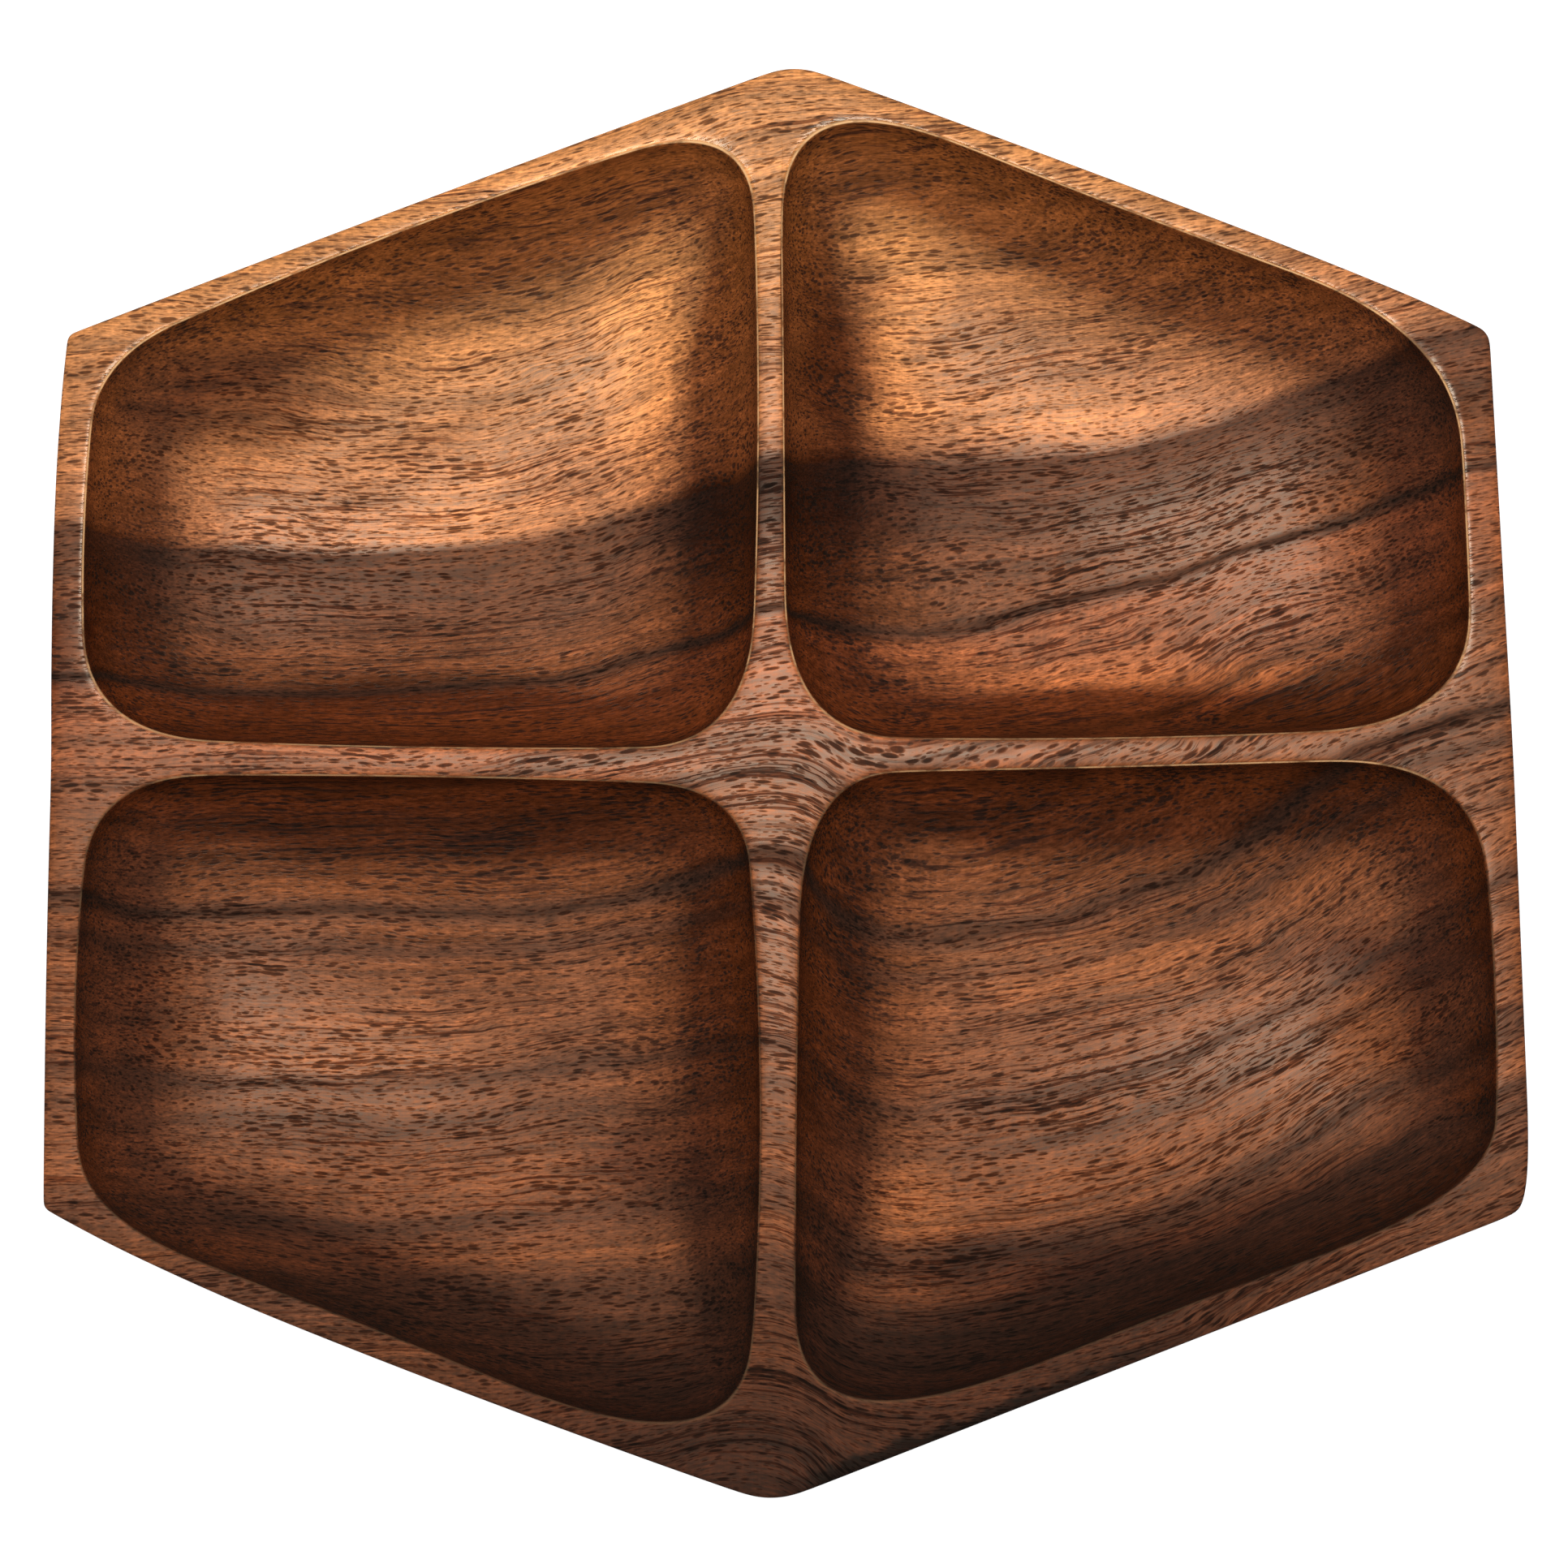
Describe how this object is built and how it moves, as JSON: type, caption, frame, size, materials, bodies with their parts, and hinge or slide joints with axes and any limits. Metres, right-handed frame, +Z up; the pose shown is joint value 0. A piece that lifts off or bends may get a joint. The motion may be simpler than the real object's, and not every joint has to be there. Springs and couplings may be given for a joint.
{
  "type": "divided serving bowl",
  "caption": "Six-sided wooden serving bowl carved from one block, with dished wells parted by a thin cross and a flat base to rest on.",
  "frame": {"origin": "on the table, under the middle of the bowl's bounding box", "axes": "+Z up, +X across the bowl from the left side to the right side, +Y towards the top tip"},
  "size_m": [0.3038, 0.2948, 0.038],
  "materials": {
    "wood": "oiled satin"
  },
  "bodies": {
    "root": {"carved_bowl": "wood"}
  },
  "joints": []
}
